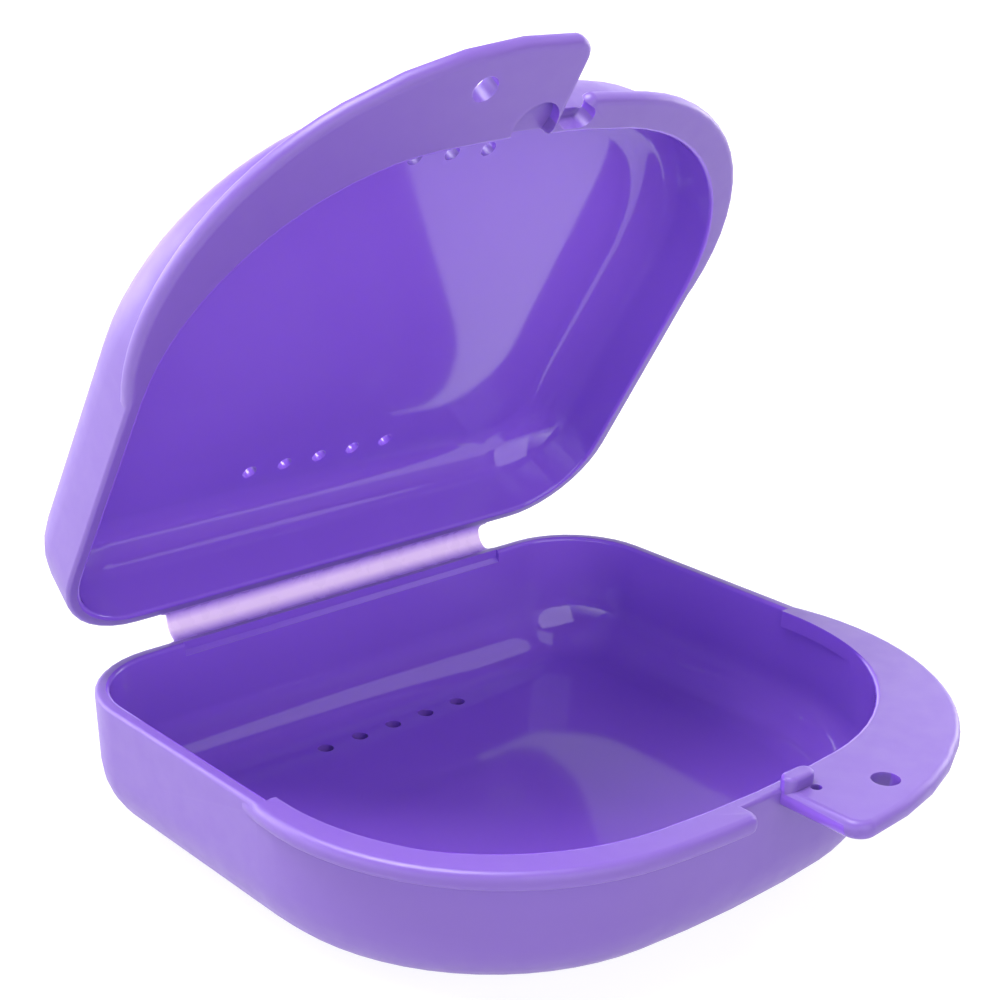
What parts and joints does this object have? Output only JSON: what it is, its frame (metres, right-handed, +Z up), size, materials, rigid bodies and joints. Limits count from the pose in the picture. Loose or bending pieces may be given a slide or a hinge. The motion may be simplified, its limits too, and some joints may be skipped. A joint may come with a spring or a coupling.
{
  "type": "retainer case",
  "caption": "Shallow clamshell case with a rounded front, split half-moon thumb lips, vent holes and a lid on a living hinge.",
  "frame": {"origin": "centre of the base tray's flat underside, midway between its sides and between its back wall and its front wall at the rim", "axes": "+X along the hinge, +Y from the front lips to the hinge, +Z up. The lid stands open 58.5 degrees at rest, as in the picture"},
  "size_m": [0.0804, 0.0857, 0.0851],
  "materials": {
    "shell": "gloss",
    "web": "gloss"
  },
  "bodies": {
    "base": {"base_tray": "shell", "hinge_web": "web"},
    "lid": {"lid": "shell"}
  },
  "joints": [
    {"name": "lid_hinge", "type": "hinge", "parent": "base", "child": "lid", "pos_m": [0, 0.03655, 0.01595], "axis": [-1, 0, 0], "range_deg": [-58.5, 121.5], "deforming": ["hinge_web"]}
  ]
}
